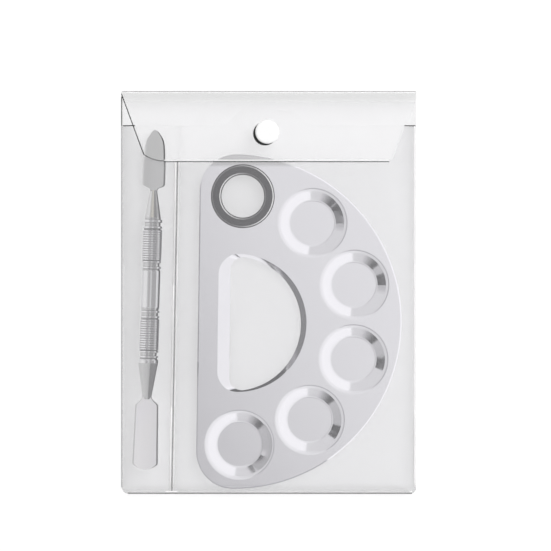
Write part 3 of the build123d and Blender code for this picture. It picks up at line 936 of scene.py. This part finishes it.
def steel_material(name, level, roughness, grain_scale, cool=STEEL_COOL):
    """Stainless steel with a fine satin grain and faint handling marks."""
    material, tree, shader = new_material(name)
    place = object_place(tree)
    stretch = add_node(tree, "ShaderNodeMapping", {"Vector": place, "Scale": grain_scale})
    marks = noise(tree, place, STEEL_MARKS_SCALE, 5.0)
    low, high = grey(level * (1 - STEEL_MARK), cool), grey(level * (1 + STEEL_MARK), cool)
    tree.links.new(mix_colour(tree, marks, low, high), shader["Base Color"])
    rough = math_node(tree, "MULTIPLY_ADD", marks, 2 * STEEL_MARK_ROUGH, roughness - STEEL_MARK_ROUGH)
    tree.links.new(rough, shader["Roughness"])
    shader["Metallic"].default_value = 1.0
    add_bump(tree, shader, noise(tree, stretch.outputs[0], 1.0, 4.0), STEEL_GRAIN, STEEL_GRAIN_DEPTH)
    return material


SPECK_SCALE = 900.0
SPECK_DARK = 0.94
SPECK_BUMP = 0.2
SPECK_DEPTH = 0.01
COAT_ROUGHNESS = 0.08


def plastic_material(name, colour, roughness, coat):
    """Moulded plastic or rubber with a faint surface texture."""
    material, tree, shader = new_material(name)
    speck = noise(tree, object_place(tree), SPECK_SCALE, 3.0)
    dark = tuple(c * SPECK_DARK for c in colour[:3]) + (1,)
    tree.links.new(mix_colour(tree, speck, dark, colour), shader["Base Color"])
    shader["Roughness"].default_value = roughness
    shader["Coat Weight"].default_value = coat
    shader["Coat Roughness"].default_value = COAT_ROUGHNESS
    add_bump(tree, shader, speck, SPECK_BUMP, SPECK_DEPTH)
    return material


RING_RUBBER = (0.012, 0.012, 0.013, 1)
RING_SPECULAR = 0.2
# The grey of the painted highlight on the chamfers
RING_HIGHLIGHT = 0.8
# The share of the painted highlight on the chamfers that face left
RING_HIGHLIGHT_LEFT = 0.2
# Where the painted highlight starts and is full, by how far the face leans up and to the right
STEEPEST_CHAMFER = (0.5, 0.6)
FLATTEST_CHAMFER = (0.9, 0.8)
RING_HIGHLIGHT_TURN = (-0.3, 0.6)


def ring_material():
    """Dark rubber whose chamfers carry a painted highlight, pale and metallic, brightest where they face
    right.
    """
    material = plastic_material("ring_rubber", RING_RUBBER, roughness=0.3, coat=0.0)
    tree, shader, old = reopen(material)
    shader["Specular IOR Level"].default_value = RING_SPECULAR
    side, _, tilt = facing(tree)
    above = smooth_step(tree, tilt, *STEEPEST_CHAMFER)
    below = smooth_step(tree, tilt, *FLATTEST_CHAMFER)
    right = smooth_step(tree, side, *RING_HIGHLIGHT_TURN)
    highlight_share = math_node(tree, "MULTIPLY_ADD", right, 1 - RING_HIGHLIGHT_LEFT, RING_HIGHLIGHT_LEFT)
    chamfer = math_node(tree, "MULTIPLY", math_node(tree, "MULTIPLY", above, below), highlight_share)
    tree.links.new(mix_colour(tree, chamfer, old, grey(RING_HIGHLIGHT)), shader["Base Color"])
    tree.links.new(chamfer, shader["Metallic"])
    return material


# Painted shade for the flap's shadow on the palette: its grey, and the heights where it starts and is full
FLAP_SHADE_GREY = 0.67
FLAP_SHADE_FROM_Y = 58.0
FLAP_SHADE_TO_Y = 59.7


def palette_material():
    """Satin steel with painted shade along the palette's top edge, for the shadow of the flap over it."""
    material = steel_material("palette_steel", level=0.90, roughness=0.12, grain_scale=PALETTE_GRAIN)
    tree, shader, old = reopen(material)
    height = split(tree, object_place(tree))["Y"]
    flap_shade = smooth_step(tree, height, FLAP_SHADE_FROM_Y * MM, FLAP_SHADE_TO_Y * MM)
    tree.links.new(mix_colour(tree, flap_shade, old, grey(FLAP_SHADE_GREY, 0.01)), shader["Base Color"])
    return material


# Painted grey on the blades' left bevels; the right bevels' painted shade is given per blade
LEFT_BEVEL = 0.6
# How far a face leans along and across the blade where it counts as the cone and as a bevel
CONE_LEAN = (0.04, 0.1)
BEVEL_LEAN = (0.1, 0.35)


def blade_material(name, level, roughness, cool, cone, right_bevel_shade):
    """Satin steel on a blade, painted shade on its right bevel, grey on its left, darker on the turned cone
    behind it.
    """
    material = steel_material(name, level, roughness, BLADE_GRAIN, cool)
    tree, shader, colour = reopen(material)
    side, taper, _ = facing(tree)
    turned = smooth_step(tree, math_node(tree, "ABSOLUTE", taper), *CONE_LEAN)
    right = smooth_step(tree, side, *BEVEL_LEAN)
    left = smooth_step(tree, side, *(-lean for lean in BEVEL_LEAN))
    for share, other in ((turned, cone), (left, grey(LEFT_BEVEL)), (right, grey(right_bevel_shade))):
        colour = mix_colour(tree, share, colour, other)
    tree.links.new(colour, shader["Base Color"])
    return material


# Painted shade in the handle's grooves: its grey, and the radii where it starts and is full
GROOVE_SHADE_GREY = 0.52
GROOVE_SHADE_FROM_R = 4.36
GROOVE_SHADE_TO_R = 4.18


def handle_material():
    """The handle's steel, with painted shade in the grooves between its rings and ribs."""
    material = steel_material(
        "handle_steel", level=0.68, roughness=0.2, grain_scale=HANDLE_GRAIN, cool=0.01
    )
    tree, shader, old = reopen(material)
    along = next(j for j in frame["joints"] if j["name"] == "spatula_slide")["axis"]
    lean = math.atan2(along[0], along[1])
    low, high = corners("spatula_handle")
    middle = Vector((low + high) / 2 * MM)
    across = middle.x * math.cos(lean) - middle.y * math.sin(lean)
    own = add_node(
        tree,
        "ShaderNodeMapping",
        {"Vector": object_place(tree), "Location": (-across, 0, -middle.z), "Rotation": (0, 0, lean)},
    )
    x, _, z = split(tree, own.outputs[0])
    squares = [math_node(tree, "POWER", value, 2.0) for value in (x, z)]
    radius = math_node(tree, "SQRT", math_node(tree, "ADD", *squares))
    groove_shade = smooth_step(tree, radius, GROOVE_SHADE_FROM_R * MM, GROOVE_SHADE_TO_R * MM)
    tree.links.new(mix_colour(tree, groove_shade, old, grey(GROOVE_SHADE_GREY)), shader["Base Color"])
    return material


def dress(node, material):
    """Give a CAD node a material."""
    slots = nodes[node].material_slots
    slots[0].link = "OBJECT"
    slots[0].material = material


def dress_cad():
    """Materials for the CAD nodes that stay."""
    dress("palette_plate", palette_material())
    dress("thumb_ring", ring_material())
    dress("spatula_handle", handle_material())
    warm = (0.62, 0.6, 0.54, 1)
    leaf = blade_material("leaf_steel", level=0.66, roughness=0.2, cool=0.0, cone=warm, right_bevel_shade=0.4)
    dress("leaf_blade", leaf)
    square = blade_material(
        "square_steel", level=1.0, roughness=0.6, cool=0.045, cone=grey(0.66), right_bevel_shade=0.3
    )
    dress("square_blade", square)
    white = plastic_material("snap_white", grey(0.97), roughness=0.25, coat=0.8)
    for node in ("snap_cap", "snap_socket", "snap_stud", "stud_rivet"):
        dress(node, white)


def make_snap_shadow_disc():
    """A thin dark disc under the cap, off centre towards the lower left: the cap's painted shadow."""
    middle = (cap_low + cap_high) / 2
    cap_r = (cap_high[0] - cap_low[0]) / 2
    base = 2 * FOLD_R
    shift = np.array([-1.0, -0.8])
    turns = np.linspace(0, 2 * math.pi, 97)[:-1]
    rings = []
    for centre, radius, z in (
        (middle[:2] + shift, cap_r, base),
        (middle[:2] + shift, cap_r, base + 0.22),
        (middle[:2] + shift, cap_r - 0.15, base + 0.35),
        (middle[:2], cap_r - 1.0, base + 0.35),
        (middle[:2], cap_r - 1.0, base),
    ):
        rings.append([(centre[0] + radius * math.cos(t), centre[1] + radius * math.sin(t), z) for t in turns])
    points = np.array(rings)
    count, around = points.shape[:2]
    faces = []
    for r in range(count):
        for c in range(around):
            n = (c + 1) % around
            s = (r + 1) % count
            faces.append((r * around + c, r * around + n, s * around + n, s * around + c))
    # Black for the cap's painted shadow
    black = plastic_material("shadow_disc_black", grey(0.006), roughness=0.6, coat=0.0)
    shadow_disc = add_piece("snap_shadow_disc", points.reshape(-1, 3), faces, "flap", black)


# ---------------------------------------------------------------- build

bpy.context.scene.view_settings.view_transform = "Standard"
bpy.context.scene.cycles.transparent_max_bounces = 32
make_camera()
make_world()
make_floor()
make_cards()
make_lamp()
make_materials()
dress_cad()
front_shape = Membrane()
back_film = make_back_film()
make_front_film(front_shape)
make_flap_film()
make_flap_edges()
make_pouch_edges(front_shape)
make_snap_shadow_disc()
